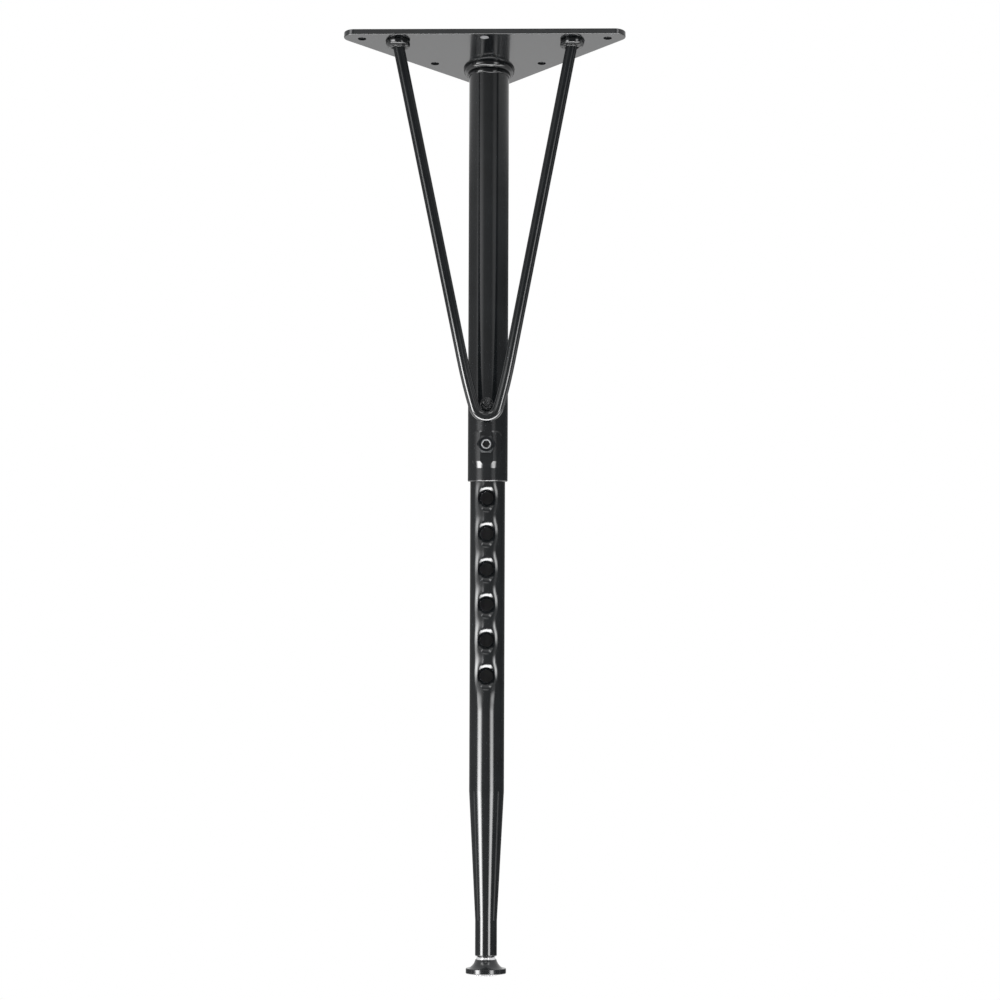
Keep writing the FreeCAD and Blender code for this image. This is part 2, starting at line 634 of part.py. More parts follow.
def make_lower_tube():
    spare = "Size.lower_wall"
    outside = turned(
        "lower_outside",
        [
            ("0", "Fit.lower_top"),
            ("0", "Fit.lower_end"),
            ("Fit.tip_r - Size.tip_round", "Fit.lower_end", "Size.tip_round", -1),
            ("Fit.tip_r", "Fit.lower_end + Size.tip_round"),
            ("Fit.tip_r", "Fit.tip_top"),
            ("Fit.lower_r", "Fit.taper_top"),
            ("Fit.lower_r", "Fit.lower_top"),
        ],
    )
    inside = turned(
        "lower_inside",
        [
            ("0", f"Fit.lower_top + {spare}"),
            ("0", f"Fit.lower_end - {spare}"),
            ("Fit.tip_bore_r", f"Fit.lower_end - {spare}"),
            ("Fit.tip_bore_r", "Fit.tip_top"),
            ("Fit.lower_bore_r", "Fit.taper_top"),
            ("Fit.lower_bore_r", f"Fit.lower_top + {spare}"),
        ],
    )
    mouth = "Size.dimple_mouth / 2"
    bend = "Size.dimple_bend / 2"
    hole = "Size.hole_width / 2"
    front = "-Fit.lower_r"
    thick = "Size.dimple_wall"
    pressed = dimple_row(
        "dimple_outside",
        [
            (f"{front} - {spare}", "0"),
            ("0", "0"),
            ("0", hole),
            (f"{front} + Size.dimple_depth", hole, "Size.dimple_lip", 1),
            (f"{front} + Size.dimple_bend_depth", bend, "Size.dimple_roll", 1),
            (front, mouth),
            (f"{front} - {spare}", mouth),
        ],
    )
    bulged = dimple_row(
        "dimple_inside",
        [
            (f"{front} - {spare}", "0"),
            (f"{front} + Size.dimple_depth + {thick}", "0"),
            (f"{front} + Size.dimple_depth + {thick}", f"{hole} + {spare}"),
            (f"{front} + Size.dimple_bend_depth + {thick}", f"{bend} + {spare} / 2"),
            (f"{front} + {spare}", mouth),
            (f"{front} - {spare}", mouth),
        ],
    )
    dimpled = combine("Cut", "lower_dimpled", outside, pressed)
    hollow = combine("Cut", "lower_hollow", inside, bulged)
    return name_part(lean(combine("Cut", "lower_bored", dimpled, hollow)), "lower_tube")


def make_foot_insert():
    plug = turned(
        "insert_body",
        [
            ("Size.stem_width / 2 + Size.seat_gap", "Fit.lower_end + Size.tip_round"),
            ("Fit.tip_bore_r - Size.seat_gap", "Fit.lower_end + Size.tip_round"),
            ("Fit.tip_bore_r - Size.seat_gap", "Fit.lower_end + Size.insert_length"),
            ("Size.stem_width / 2 + Size.seat_gap", "Fit.lower_end + Size.insert_length"),
        ],
    )
    return name_part(lean(plug), "foot_insert")


def make_foot_stem():
    shoulder_z = "Fit.lower_end - Size.seat_gap"
    flat_z = "Fit.ball_z - Size.ball_flat"
    stud = turned(
        "stem_body",
        [
            ("0", "Fit.lower_end + Size.stem_length"),
            ("0", flat_z),
            ("sqrt(Fit.ball_r ^ 2 - Size.ball_flat ^ 2)", flat_z, "Fit.ball_r", -1),
            (f"sqrt(Fit.ball_r ^ 2 - ({shoulder_z} - Fit.ball_z) ^ 2)", shoulder_z),
            ("Size.stem_width / 2", shoulder_z),
            ("Size.stem_width / 2", "Fit.lower_end + Size.stem_length"),
        ],
    )
    return name_part(lean(stud), "foot_stem")


def make_foot_base():
    disc_r = "Size.disc_width / 2"
    edge = "Size.disc_round"
    base = turned(
        "base_body",
        [
            ("Fit.rim_r", "Fit.rim_z", "Fit.socket_r", 1),
            ("Fit.socket_r", "Fit.ball_z"),
            ("Fit.socket_r", "Fit.disc_low"),
            (f"{disc_r} - {edge}", "Fit.disc_low", edge, -1),
            (disc_r, f"Fit.disc_low + {edge}"),
            (disc_r, f"Fit.disc_top - {edge}", edge, -1),
            (f"{disc_r} - {edge}", "Fit.disc_top"),
            ("Size.skirt_foot / 2", "Fit.disc_top", "Size.skirt_hollow", 1),
            ("Fit.rim_r + Size.skirt_lip", "Fit.rim_z"),
        ],
    )
    return name_part(lean(base), "foot_base")


def make_foot_pad():
    plug_r = "Fit.socket_r - Size.seat_gap"
    low = "Fit.disc_low - Size.pad_height"
    pad = turned(
        "pad_body",
        [
            ("0", "Fit.pad_top"),
            ("0", low),
            ("Size.pad_face / 2", low, "Size.pad_curve", -1),
            ("Size.pad_width / 2", "Fit.disc_low"),
            (plug_r, "Fit.disc_low"),
            (plug_r, "Fit.pad_top"),
        ],
    )
    return name_part(lean(pad), "foot_pad")


def check_and_write():
    doc.recompute()
    for item in doc.Objects:
        if "Invalid" in item.State or "Error" in item.State:
            raise RuntimeError(f"{item.Name} failed: {item.State}")
    for piece in PIECES:
        if piece.Shape.isNull() or not piece.Shape.isValid() or len(piece.Shape.Solids) != 1:
            raise RuntimeError(f"{piece.Label} is not one sound solid")
    os.makedirs("parts", exist_ok=True)
    for piece in PIECES:
        piece.Shape.exportStep(f"parts/{piece.Label}.step")
        print(f"{piece.Label}: {piece.Shape.Volume:.1f} cubic mm")


make_plate()
plate_space = make_plate_space()
make_upper_tube(plate_space)
make_tube_weld()
brace_rod = make_brace(plate_space)
make_brace_welds(brace_rod)
make_bend_weld(brace_rod)
make_lock_nut()
make_lock_screw()
make_lower_tube()
make_foot_insert()
make_foot_stem()
make_foot_base()
make_foot_pad()
check_and_write()
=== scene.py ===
"""Looks of the height adjustable table leg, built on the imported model."""

import math

import bpy
from mathutils import Matrix, Vector, noise as lumps


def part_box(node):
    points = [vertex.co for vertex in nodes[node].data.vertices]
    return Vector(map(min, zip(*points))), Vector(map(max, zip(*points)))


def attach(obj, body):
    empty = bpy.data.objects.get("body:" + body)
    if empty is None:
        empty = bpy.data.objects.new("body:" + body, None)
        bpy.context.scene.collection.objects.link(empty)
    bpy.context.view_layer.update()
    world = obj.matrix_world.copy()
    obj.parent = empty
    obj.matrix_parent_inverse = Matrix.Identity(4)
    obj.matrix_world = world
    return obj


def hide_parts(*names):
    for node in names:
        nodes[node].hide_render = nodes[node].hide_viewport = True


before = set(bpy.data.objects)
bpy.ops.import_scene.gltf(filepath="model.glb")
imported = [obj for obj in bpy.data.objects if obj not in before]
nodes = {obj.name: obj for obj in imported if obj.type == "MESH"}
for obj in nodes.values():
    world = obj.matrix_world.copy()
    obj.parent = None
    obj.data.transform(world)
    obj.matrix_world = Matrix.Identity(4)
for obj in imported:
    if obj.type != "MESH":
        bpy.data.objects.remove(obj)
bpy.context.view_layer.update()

scene = bpy.context.scene
scene.view_settings.view_transform = "Standard"

# Directions of the leg, which leans back. Heights up the leg start at the plate's top face.
SPLAY = math.radians(15)
UP_LEG = Vector((0, -math.sin(SPLAY), math.cos(SPLAY)))
INTO_VIEW = Vector((0, math.cos(SPLAY), math.sin(SPLAY)))
ACROSS = Vector((1, 0, 0))

# Sizes of the CAD model in metres. A name with DOWN is a distance down the leg.
PLATE_THICK = 0.004
UPPER_RADIUS = 0.0143
ROD_RADIUS = 0.004
BEND_DOWN = 0.25414
LOCK_DOWN = 0.27374
LOWEST_HOLE_DOWN = 0.43914
HOLE_PITCH = 0.0254
HOLE_COUNT = 10
CENTRE_HOLE_Y = -0.0602


def leg_point(x, out, up):
    """Point given in the leg's own frame: sideways, out to the front and up along the leg, in metres."""
    return ACROSS * x - INTO_VIEW * out + UP_LEG * up


def new_material(name):
    """Material with its node tree and its shader."""
    material = bpy.data.materials.new(name)
    material.use_nodes = True
    tree = material.node_tree
    return material, tree, tree.nodes["Principled BSDF"]


# Helpers that add shader nodes. Each returns the output that carries its result.
CLOUD_LOW = 0.3
CLOUD_HIGH = 0.7


def own_place(tree):
    """Place in the object's own coordinates."""
    return tree.nodes.new("ShaderNodeTexCoord").outputs["Object"]


def noise(tree, scale, detail=3.0):
    """Noise in the object's own coordinates, in lumps per metre."""
    texture = tree.nodes.new("ShaderNodeTexNoise")
    texture.inputs["Scale"].default_value = scale
    texture.inputs["Detail"].default_value = detail
    tree.links.new(own_place(tree), texture.inputs["Vector"])
    return texture.outputs["Fac"]


def ramp(tree, source, low, high):
    """Colour between two colours that follows the middle part of a noise's range."""
    node = tree.nodes.new("ShaderNodeValToRGB")
    for element, position, colour in zip(node.color_ramp.elements, (CLOUD_LOW, CLOUD_HIGH), (low, high)):
        element.position = position
        element.color = (*colour, 1)
    tree.links.new(source, node.inputs["Fac"])
    return node.outputs["Color"]


def mapped(tree, source, start, end, first, last, kind="LINEAR"):
    """Number that goes from first to last as a source goes from start to end."""
    node = tree.nodes.new("ShaderNodeMapRange")
    node.interpolation_type = kind
    for socket, value in (("From Min", start), ("From Max", end), ("To Min", first), ("To Max", last)):
        node.inputs[socket].default_value = value
    tree.links.new(source, node.inputs["Value"])
    return node.outputs["Result"]


def eased(tree, source, start, end, first, last):
    """The same with a soft start and end."""
    return mapped(tree, source, start, end, first, last, "SMOOTHSTEP")


def along(tree, source, direction, start, end, first, last):
    """Number that goes from first to last as a vector's share along a direction goes from start to end."""
    dot = tree.nodes.new("ShaderNodeVectorMath")
    dot.operation = "DOT_PRODUCT"
    dot.inputs[1].default_value = direction
    tree.links.new(source, dot.inputs[0])
    return mapped(tree, dot.outputs["Value"], start, end, first, last)


def calculate(tree, operation, first, second=0.0):
    """Result of a calculation with an output and a plain number or another output."""
    node = tree.nodes.new("ShaderNodeMath")
    node.operation = operation
    tree.links.new(first, node.inputs[0])
    if isinstance(second, float):
        node.inputs[1].default_value = second
    else:
        tree.links.new(second, node.inputs[1])
    return node.outputs[0]


def larger(tree, first, second):
    """The larger one of two outputs."""
    return calculate(tree, "MAXIMUM", first, second)


def product(tree, first, second):
    """Product of two outputs."""
    return calculate(tree, "MULTIPLY", first, second)


# Finishes. Clouds are counted in lumps per metre.
COOL_RED = 0.86
COOL_BLUE = 1.12
SHINE = 0.5
COAT_CLOUDS = 60
COAT_DETAIL = 4
LEAST_ROUGH = 0.8
MOST_ROUGH = 1.25
PEEL_DETAIL = 2
PEEL_DEPTH = 0.0002
METAL_CLOUDS = 300
PAD_CLOUDS = 400


def cool(value):
    """Near black with a faint cool tint."""
    return (value * COOL_RED, value, value * COOL_BLUE)


def coated(name, dark, light, rough, peel, peel_scale, shine=SHINE):
    """Skin with faint clouds in its colour, a gloss that varies a little and a fine orange peel.
    The peel has a strength and lumps per metre."""
    material, tree, shader = new_material(name)
    clouds = noise(tree, COAT_CLOUDS, COAT_DETAIL)
    tree.links.new(ramp(tree, clouds, dark, light), shader.inputs["Base Color"])
    gloss = mapped(tree, clouds, 0.0, 1.0, rough * LEAST_ROUGH, rough * MOST_ROUGH)
    tree.links.new(gloss, shader.inputs["Roughness"])
    shader.inputs["Specular IOR Level"].default_value = shine
    bump = tree.nodes.new("ShaderNodeBump")
    bump.inputs["Strength"].default_value = peel
    bump.inputs["Distance"].default_value = PEEL_DEPTH
    tree.links.new(noise(tree, peel_scale, PEEL_DETAIL), bump.inputs["Height"])
    tree.links.new(bump.outputs["Normal"], shader.inputs["Normal"])
    return material


def metal(name, dark, light, smooth, rough):
    """Bare or plated metal with faint clouds in its colour and gloss."""
    material, tree, shader = new_material(name)
    shader.inputs["Metallic"].default_value = 1.0
    clouds = noise(tree, METAL_CLOUDS)
    tree.links.new(ramp(tree, clouds, dark, light), shader.inputs["Base Color"])
    tree.links.new(mapped(tree, clouds, 0.0, 1.0, smooth, rough), shader.inputs["Roughness"])
    return material


# Trough along the row of holes. From TROUGH_INNER to TROUGH_OUTER sideways it rises to the tube's surface.
# Between two holes it is shallower by twice the wave's share, which differs from left to right.
# It is on the front of the tube only.
TROUGH_INNER = 0.0022
TROUGH_OUTER = 0.0112
TROUGH_DEPTH = 0.0022
WAVE_LEFT = 0.12
WAVE_RIGHT = 0.30
TROUGH_START = -1.0 * HOLE_PITCH
TROUGH_FULL = 0.2 * HOLE_PITCH
FRONT_STARTS = -0.002
FRONT_FULL = -0.004


def draw_in_row(material):
    """Shallow trough along the row of adjusting holes, deepest where the press drew in the wall."""
    tree = material.node_tree
    place = own_place(tree)
    sideways = along(tree, place, ACROSS, -1.0, 1.0, -1.0, 1.0)
    across = calculate(tree, "ABSOLUTE", sideways)
    trough = eased(tree, across, TROUGH_INNER, TROUGH_OUTER, TROUGH_DEPTH, 0.0)
    up = along(tree, place, UP_LEG, -LOWEST_HOLE_DOWN, 1.0 - LOWEST_HOLE_DOWN, 0.0, 1.0)
    up.node.clamp = False
    turn = calculate(tree, "COSINE", calculate(tree, "MULTIPLY", up, 2 * math.pi / HOLE_PITCH))
    depth = eased(tree, sideways, -TROUGH_OUTER, TROUGH_OUTER, WAVE_LEFT, WAVE_RIGHT)
    wave = product(tree, depth, calculate(tree, "SUBTRACT", turn, 1.0))
    level = calculate(tree, "ADD", wave, 1.0)
    last_hole = (HOLE_COUNT - 1) * HOLE_PITCH
    low_end = eased(tree, up, TROUGH_START, TROUGH_FULL, 0.0, 1.0)
    high_end = eased(tree, up, last_hole, last_hole + HOLE_PITCH, 1.0, 0.0)
    front = along(tree, place, INTO_VIEW, FRONT_STARTS, FRONT_FULL, 0.0, -1.0)
    row = product(tree, product(tree, low_end, high_end), product(tree, level, front))
    dish = tree.nodes.new("ShaderNodeBump")
    dish.inputs["Strength"].default_value = 1.0
    dish.inputs["Distance"].default_value = 1.0
    tree.links.new(product(tree, trough, row), dish.inputs["Height"])
    peel = next(node for node in tree.nodes if node.type == "BUMP" and node != dish)
    tree.links.new(dish.outputs["Normal"], peel.inputs["Normal"])


FULL_SHINE_UP = -0.225
LESS_SHINE_UP = -0.175
LESS_SHINE = 0.17


def dull_upwards(material):
    """Coat that shines in full at the brace's bend and less higher up the rod."""
    tree = material.node_tree
    shine = along(tree, own_place(tree), UP_LEG, FULL_SHINE_UP, LESS_SHINE_UP, SHINE, LESS_SHINE)
    tree.links.new(shine, tree.nodes["Principled BSDF"].inputs["Specular IOR Level"])


# Each coat: darkest and lightest colour, roughness, strength of the peel and its lumps per metre.
plate_coat = coated("plate_coat", cool(0.009), cool(0.013), 0.12, 0.02, 700)
frame_coat = coated("frame_coat", cool(0.009), cool(0.014), 0.11, 0.03, 300)
rod_coat = coated("rod_coat", cool(0.009), cool(0.014), 0.11, 0.03, 300)
dull_upwards(rod_coat)
leg_coat = coated("leg_coat", cool(0.009), cool(0.014), 0.10, 0.03, 300)
draw_in_row(leg_coat)
# Pale coat for the centre hole's wall: a painted highlight for the glint on the hole's edge.
painted_hole_glint = coated("painted_hole_glint", (0.40, 0.40, 0.41), (0.48, 0.48, 0.49), 0.6, 0.1, 400)
bore_steel = coated("bore_steel", (0.16, 0.16, 0.17), (0.24, 0.24, 0.25), 0.5, 0.1, 400)
screw_coat = coated("screw_coat", cool(0.006), cool(0.010), 0.3, 0.1, 700)
weld_coat = coated("weld_coat", cool(0.006), cool(0.010), 0.11, 0.0, 420, shine=0.24)
lump_coat = coated("lump_coat", cool(0.008), cool(0.013), 0.2, 0.3, 420)
nut_coat = coated("nut_coat", cool(0.010), cool(0.018), 0.24, 0.08, 700, shine=0.15)
base_coat = coated("base_plastic", cool(0.009), cool(0.014), 0.15, 0.03, 700)
plug_coat = coated("plug_plastic", cool(0.02), cool(0.03), 0.5, 0.1, 800)
# Bright metal for the lock screw's front ring: a painted highlight, not wear.
ring_highlight_metal = metal("ring_highlight_metal", (0.62, 0.63, 0.64), (0.74, 0.75, 0.76), 0.32, 0.38)
stud_metal = metal("stud_metal", (0.62, 0.62, 0.63), (0.74, 0.74, 0.75), 0.2, 0.3)

pad_plastic, pad_tree, pad_shader = new_material("pad_plastic")
pad_colour = ramp(pad_tree, noise(pad_tree, PAD_CLOUDS), (0.62, 0.62, 0.63), (0.70, 0.70, 0.71))
pad_tree.links.new(pad_colour, pad_shader.inputs["Base Color"])
pad_shader.inputs["Roughness"].default_value = 0.5
pad_shader.inputs["Specular IOR Level"].default_value = 0.2

FINISHES = {
    "mounting_plate": plate_coat,
    "upper_tube": frame_coat,
    "brace_rod": rod_coat,
    "tube_weld": weld_coat,
    "brace_weld_left": weld_coat,
    "brace_weld_right": weld_coat,
    "bend_weld": lump_coat,
    "lock_nut": nut_coat,
    "lock_screw": screw_coat,
    "lower_tube": leg_coat,
    "foot_insert": plug_coat,
    "foot_stem": stud_metal,
    "foot_base": base_coat,
    "foot_pad": pad_plastic,
}
for node_name, material in FINISHES.items():
    mesh = nodes[node_name].data
    mesh.materials.clear()
    mesh.materials.append(material)

# The lower tube's inside is bare steel. The centre hole's wall and the lock screw's front ring get painted
# highlights.
BORE_REACH = 0.0112
SOCKET_REACH = 0.0026
HIGHLIGHT_RING_DEPTH = 0.0006
HIGHLIGHT_RING_FACING = 0.3
CENTRE_HOLE_REACH = 0.0032
WALL_FACING = 0.5
screw_front = max(-vertex.co.dot(INTO_VIEW) for vertex in nodes["lock_screw"].data.vertices)


def bare_or_highlight_faces(node, material, is_bare):
    """Gives the faces of a node that pass a test another material."""
    mesh = nodes[node].data
    mesh.materials.append(material)
    for face in mesh.polygons:
        if is_bare(face):
            face.material_index = 1


def in_bore(face):
    """Face of the lower tube that looks towards its line."""
    middle = face.center
    back = middle.dot(INTO_VIEW)
    inward = face.normal.dot(leg_point(middle.x, -back, 0)) < 0
    return math.hypot(middle.x, back) < BORE_REACH and inward


def on_highlight_ring(face):
    """Face at the front end of the lock screw, outside its socket, which gets the painted highlight ring.
    """
    middle = face.center
    radius = math.hypot(middle.x, middle.dot(UP_LEG) + LOCK_DOWN)
    sunk = screw_front + middle.dot(INTO_VIEW)
    return radius > SOCKET_REACH and sunk < HIGHLIGHT_RING_DEPTH and face.normal.dot(-INTO_VIEW) > HIGHLIGHT_RING_FACING


def in_centre_hole(face):
    """Face of the wall of the plate's centre hole."""
    radius = math.hypot(face.center.x, face.center.y - CENTRE_HOLE_Y)
    return radius < CENTRE_HOLE_REACH and abs(face.normal.z) < WALL_FACING


bare_or_highlight_faces("lower_tube", bore_steel, in_bore)
# The lock screw's front ring gets bright metal as a painted highlight.
bare_or_highlight_faces("lock_screw", ring_highlight_metal, on_highlight_ring)
# The centre hole's wall is painted pale as a painted highlight.
bare_or_highlight_faces("mounting_plate", painted_hole_glint, in_centre_hole)


# Welds, rougher than the plain solids that they stand for.
def make_mesh(name, points, faces, material, body, node):
    """Mesh piece with smooth faces that rides on a body and stands for a CAD node."""
    mesh = bpy.data.meshes.new(name)
    mesh.from_pydata([tuple(point) for point in points], [], faces)
    mesh.update()
    mesh.polygons.foreach_set("use_smooth", [True] * len(mesh.polygons))
    mesh.materials.append(material)
    piece = bpy.data.objects.new(name, mesh)
    scene.collection.objects.link(piece)
    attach(piece, body)
    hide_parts(node)


def ring_faces(rows, columns):
    """Quads of a grid that closes on itself both ways."""
    faces = []
    for i in range(rows):
        for j in range(columns):
            a = i * columns + j
            b = i * columns + (j + 1) % columns
            c = ((i + 1) % rows) * columns + (j + 1) % columns
            d = ((i + 1) % rows) * columns + j
            faces.append((a, b, c, d))
    return faces


# Form of the beads: their steps, how far the main ridge turns, how uneven they are, and the second ridge.
ROUND_STEPS = 240
BEAD_STEPS = 12
BEAD_TURN = math.pi * 0.45
BEAD_WAVES = 2.3
BEAD_UNEVEN = 0.08
BEAD_SEEDS = 40
TOE_UNEVEN = 0.06
TOE_SHORTER_BEHIND = 0.22
RIDGE_BULGE = 0.2
RIDGE_ROUND = 0.7
RIDGE_STEP = 0.1
BEAD_SUNK = 0.0004


def weld_bead(name, node, foot, axis, radius, width, toe, square):
    """Smooth bead round a bar that meets the plate's underside at foot, with its axis pointing up.
    A thinner second ridge lies below it, at toe times the width. A low square makes the bead less round."""
    side = axis.cross(Vector((0, 1, 0))).normalized()
    front = side.cross(axis)
    points = []
    for i in range(ROUND_STEPS):
        turn = 2 * math.pi * i / ROUND_STEPS
        out = side * math.cos(turn) + front * math.sin(turn)
        touch = foot + out * radius - axis * (radius * out.z / axis.z)
        level = Vector((out.x, out.y, 0)).normalized()
        seed = Vector((math.cos(turn) * BEAD_WAVES, math.sin(turn) * BEAD_WAVES, foot.x * BEAD_SEEDS))
        full = width * (1 + BEAD_UNEVEN * lumps.noise(seed))
        behind = 1 - TOE_SHORTER_BEHIND * (1 + level.y)
        reach = toe * (1 + TOE_UNEVEN * lumps.noise(seed * 2)) * behind
        for j in range(BEAD_STEPS):
            fall = j / (BEAD_STEPS - 1) * BEAD_TURN
            bulge = full * math.cos(fall) ** square
            drop = full * math.sin(fall) ** square
            points.append(touch + level * bulge - axis * drop)
        for j in range(BEAD_STEPS):
            fall = j / (BEAD_STEPS - 1) * math.pi / 2
            bulge = full * (RIDGE_BULGE * math.sin(2 * fall) ** RIDGE_ROUND + RIDGE_STEP * math.cos(fall))
            drop = full * (1 + (reach - 1) * (1 - math.cos(2 * fall)) / 2)
            points.append(touch + level * bulge - axis * drop)
        points.append(touch - out * BEAD_SUNK + axis * BEAD_SUNK)
    faces = ring_faces(ROUND_STEPS, 2 * BEAD_STEPS + 1)
    make_mesh(name, points, faces, weld_coat, "frame", node)


# The rod's straight part is steeper than the line from its foot to the middle of its bend.
TUBE_BEAD = {"width": 0.0040, "toe": 1.85, "square": 0.8}
ROD_BEAD = {"width": 0.0043, "toe": 1.25, "square": 0.5}
ROD_STEEPER = 0.87
tube_foot = -UP_LEG * (PLATE_THICK / math.cos(SPLAY))
weld_bead("tube_bead", "tube_weld", tube_foot, UP_LEG, UPPER_RADIUS, **TUBE_BEAD)
rod_low = -UP_LEG * BEND_DOWN - INTO_VIEW * (UPPER_RADIUS + ROD_RADIUS)
for side_name in ("left", "right"):
    node = "brace_weld_" + side_name
    low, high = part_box(node)
    foot = Vector(((low.x + high.x) / 2, (low.y + high.y) / 2, -PLATE_THICK))
    rod_axis = foot - rod_low
    rod_axis.x *= ROD_STEEPER
    weld_bead("rod_bead_" + side_name, node, foot, rod_axis.normalized(), ROD_RADIUS, **ROD_BEAD)

# Form of the weld inside the bend: its place and size, and the coarse and fine unevenness of its skin.
LUMP_UP = 0.0074
LUMP_WIDTH = 0.0106
LUMP_HEIGHT = 0.0140
LUMP_RISE = 0.0021
LUMP_STEPS = 44
LUMP_WAVES_ACROSS = 2.1
LUMP_WAVES_UP = 2.6
LUMP_SEED = 4.2
LUMP_FINER = 2.7
LUMP_MEAN = 0.75
LUMP_COARSE = 0.55
LUMP_FINE = 0.35
LUMP_ROUND = 0.55
LUMP_SUNK = 0.0003


def bend_lump():
    """Rough weld on the tube's front, inside the brace's bend."""
    points = []
    for i in range(LUMP_STEPS + 1):
        for j in range(LUMP_STEPS + 1):
            u = 2 * i / LUMP_STEPS - 1
            v = 2 * j / LUMP_STEPS - 1
            x = u * math.sqrt(1 - v * v / 2)
            z = v * math.sqrt(1 - u * u / 2)
            rim = min(1.0, x * x + z * z)
            seed = Vector((x * LUMP_WAVES_ACROSS, z * LUMP_WAVES_UP, LUMP_SEED))
            coarse = LUMP_COARSE * lumps.noise(seed)
            fine = LUMP_FINE * lumps.noise(seed * LUMP_FINER)
            rise = LUMP_RISE * (1 - rim) ** LUMP_ROUND * (LUMP_MEAN + coarse + fine)
            angle = x * LUMP_WIDTH / 2 / UPPER_RADIUS
            reach = UPPER_RADIUS - LUMP_SUNK + max(rise, 0.0)
            up = -BEND_DOWN + LUMP_UP + z * LUMP_HEIGHT / 2
            points.append(leg_point(reach * math.sin(angle), reach * math.cos(angle), up))
    row = LUMP_STEPS + 1
    faces = []
    for i in range(LUMP_STEPS):
        for j in range(LUMP_STEPS):
            a = i * row + j
            faces.append((a, a + row, a + row + 1, a + 1))
    make_mesh("bend_lump", points, faces, lump_coat, "frame", "bend_weld")


bend_lump()


# Stage. Light Path tells what the eye and reflections see from what lights the leg.
def choose(tree, pick, if_not, if_so):
    """Shader if_so where pick is 1, and if_not where it is 0."""
    node = tree.nodes.new("ShaderNodeMixShader")
    tree.links.new(pick, node.inputs["Fac"])
    tree.links.new(if_not, node.inputs[1])
    tree.links.new(if_so, node.inputs[2])
    return node.outputs["Shader"]


def background(tree, strength=None):
    """White background of strength 1, or of the strength that an output gives."""
    node = tree.nodes.new("ShaderNodeBackground")
    node.inputs["Color"].default_value = (1, 1, 1, 1)
    node.inputs["Strength"].default_value = 1.0
    if strength:
        tree.links.new(strength, node.inputs["Strength"])
    return node.outputs["Background"]


def straight_seen(tree):
    """Two outputs: 1 for what the eye meets, and 1 for what a reflection or a view through glass meets."""
    path = tree.nodes.new("ShaderNodeLightPath")
    shiny = larger(tree, path.outputs["Is Glossy Ray"], path.outputs["Is Transmission Ray"])
    return path.outputs["Is Camera Ray"], shiny


# Floor, well below the leg, so that the leg has room to extend. It runs back from below the camera.
# It looks white to the eye and in reflections, and keeps its shading.
FLOOR_Z = -2.6
FLOOR_SIZE = 40
FLOOR_FRONT = -0.6
FLOOR_CLOUDS = 2
FLOOR_LIFT = 0.55
bpy.ops.mesh.primitive_plane_add(size=FLOOR_SIZE, location=(0, FLOOR_FRONT + FLOOR_SIZE / 2, FLOOR_Z))
floor = bpy.context.object
floor.name = "floor"
floor_material, floor_tree, floor_shader = new_material("floor_pale")
floor_clouds = noise(floor_tree, FLOOR_CLOUDS)
floor_colour = ramp(floor_tree, floor_clouds, (0.80, 0.80, 0.80), (0.84, 0.84, 0.84))
floor_tree.links.new(floor_colour, floor_shader.inputs["Base Color"])
floor_shader.inputs["Roughness"].default_value = 0.7
floor_shader.inputs["Emission Color"].default_value = (1, 1, 1, 1)
floor_seen = larger(floor_tree, *straight_seen(floor_tree))
floor_lift = mapped(floor_tree, floor_seen, 0.0, 1.0, 0.0, FLOOR_LIFT)
floor_tree.links.new(floor_lift, floor_shader.inputs["Emission Strength"])
floor.data.materials.append(floor_material)

# Surroundings. They are white to the eye. In reflections they are dim, darker to the right and to the back,
# and pale low down, straight behind, and high up at the sides and the back.
# They light the leg most from above.
# Each line has the range of a direction's share and the brightness or share of it at both ends.
world = bpy.data.worlds.new("studio")
scene.world = world
world.use_nodes = True
sky = world.node_tree
sky.nodes.clear()
direction = sky.nodes.new("ShaderNodeTexCoord").outputs["Generated"]
sideways = along(sky, direction, ACROSS, -0.9, 0.9, 0.52, 0.22)
frontal = along(sky, direction, INTO_VIEW, -0.3, 0.5, 1.0, 0.45)
below = along(sky, direction, UP_LEG, -0.3, -0.6, 0.0, 0.3)
behind = along(sky, direction, INTO_VIEW, 0.985, 0.995, 0.0, 1.0)
above = along(sky, direction, UP_LEG, 0.090, 0.104, 0.0, 1.0)
not_in_front = along(sky, direction, INTO_VIEW, -0.7, -0.4, 0.0, 1.0)
dim = product(sky, sideways, frontal)
pale = larger(sky, product(sky, above, not_in_front), larger(sky, below, behind))
mirrored = background(sky, larger(sky, dim, pale))
given = background(sky, along(sky, direction, (0, 0, 1), -1.0, 1.0, 0.65, 1.15))
sky_eye, sky_shiny = straight_seen(sky)
shown = choose(sky, sky_eye, choose(sky, sky_shiny, given, mirrored), background(sky))
sky.links.new(shown, sky.nodes.new("ShaderNodeOutputWorld").inputs["Surface"])


